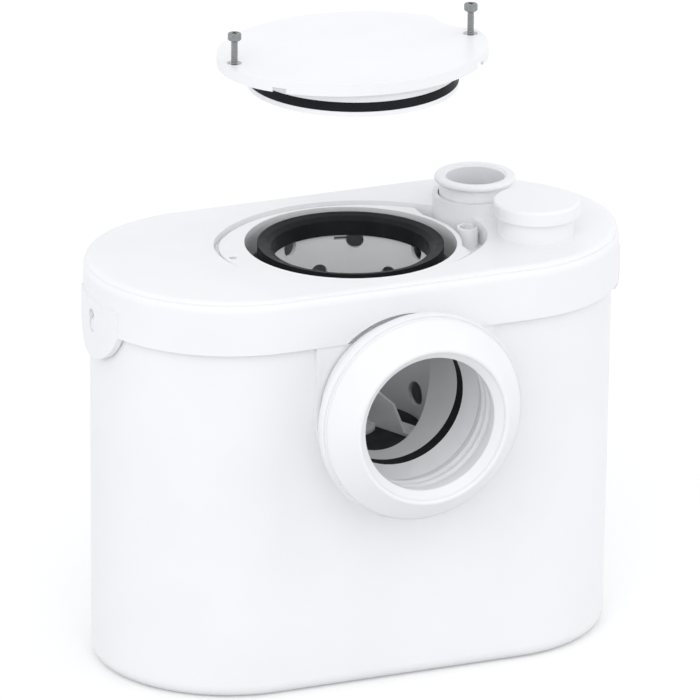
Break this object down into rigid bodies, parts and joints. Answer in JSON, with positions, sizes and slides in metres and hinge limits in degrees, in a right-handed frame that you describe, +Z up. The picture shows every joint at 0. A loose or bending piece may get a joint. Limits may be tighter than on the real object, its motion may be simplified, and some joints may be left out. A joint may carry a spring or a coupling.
{
  "type": "macerator toilet pump",
  "caption": "White racetrack-plan macerator pump box with a front pan cuff, open drum and knives under a lifted service hatch, discharge spigot and capped basin inlet.",
  "frame": {"origin": "on the floor, under the centre of the tank's base", "axes": "+X right as seen from the toilet pan, +Y to the wall behind, +Z up"},
  "size_m": [0.348, 0.225, 0.4066],
  "materials": {
    "white_plastic": "moulded, satin gloss",
    "white_rubber": "moulded, soft satin",
    "black_rubber": "moulded, satin",
    "grey_plastic": "moulded, satin",
    "inner_plastic": "moulded, matt",
    "black_plastic": "moulded, matt",
    "zinc_steel": "zinc plated, satin",
    "stainless": "sheet and bar, brushed",
    "insert_brass": "turned",
    "motor_aluminium": "cast and drawn",
    "lamination_steel": "stacked sheet",
    "bearing_steel": "ground",
    "winding_copper": "enamelled wire"
  },
  "bodies": {
    "root": {"tank": "white_plastic", "lid": "white_plastic", "discharge_spigot": "white_plastic", "inlet_cuff": "white_rubber", "lid_seal": "black_rubber", "inlet_gasket": "black_rubber", "drum_seal": "black_rubber", "riser_seal": "black_rubber", "shaft_seals": "black_rubber", "diaphragm": "black_rubber", "cable_gland": "black_rubber", "macerator_drum": "grey_plastic", "discharge_riser": "inner_plastic", "valve_seat": "inner_plastic", "pressure_chamber": "inner_plastic", "control_tub": "inner_plastic", "terminal_block": "inner_plastic", "pump_screws": "zinc_steel", "control_screws": "zinc_steel", "hatch_inserts": "insert_brass", "flap_pin": "stainless", "pump_volute": "black_plastic", "suction_cover": "black_plastic", "microswitch": "black_plastic", "motor_can": "motor_aluminium", "motor_top_cover": "motor_aluminium", "motor_base_cover": "motor_aluminium", "capacitor": "motor_aluminium", "stator_core": "lamination_steel", "bearings": "bearing_steel", "stator_windings": "winding_copper"},
    "hatch": {"hatch_cover": "white_plastic", "hatch_seal": "black_rubber"},
    "screw_left": {"hatch_screw_left": "zinc_steel"},
    "screw_right": {"hatch_screw_right": "zinc_steel"},
    "rotor": {"motor_shaft": "stainless", "motor_rotor": "lamination_steel", "knife_carrier": "black_plastic", "knife_blades": "stainless", "knife_nut": "black_plastic", "pump_impeller": "black_plastic", "impeller_nut": "stainless"},
    "cap": {"basin_cap": "white_plastic"},
    "flap": {"check_flap": "black_rubber"},
    "plunger": {"switch_plunger": "inner_plastic"},
    "lever": {"switch_lever": "stainless"}
  },
  "joints": [
    {"name": "hatch_lift", "type": "slide", "parent": "root", "child": "hatch", "axis": [0, 0, 1], "range_m": [-0.1227, 0]},
    {"name": "screw_left_in", "type": "slide", "parent": "hatch", "child": "screw_left", "axis": [0, 0, 1], "range_m": [-0.017, 0]},
    {"name": "screw_right_in", "type": "slide", "parent": "hatch", "child": "screw_right", "axis": [0, 0, 1], "range_m": [-0.017, 0]},
    {"name": "rotor_spin", "type": "hinge", "parent": "root", "child": "rotor", "pos_m": [-0.002, -0.002, 0.1], "axis": [0, 0, 1], "continuous": true},
    {"name": "basin_cap_pull", "type": "slide", "parent": "root", "child": "cap", "axis": [0, 0, 1], "range_m": [0, 0.06]},
    {"name": "flap_swing", "type": "hinge", "parent": "root", "child": "flap", "pos_m": [0.0814, 0.0305, 0.2112], "axis": [0, -1, 0], "range_deg": [0, 60]},
    {"name": "plunger_lift", "type": "slide", "parent": "root", "child": "plunger", "axis": [0, 0, 1], "range_m": [0, 0.003]},
    {"name": "lever_swing", "type": "hinge", "parent": "root", "child": "lever", "pos_m": [-0.12, 0, 0.2066], "axis": [0, 1, 0], "range_deg": [0, 14.7]}
  ],
  "couplings": [
    {"joint": "lever_swing", "follows": "plunger_lift", "rad_per_m": 85}
  ]
}
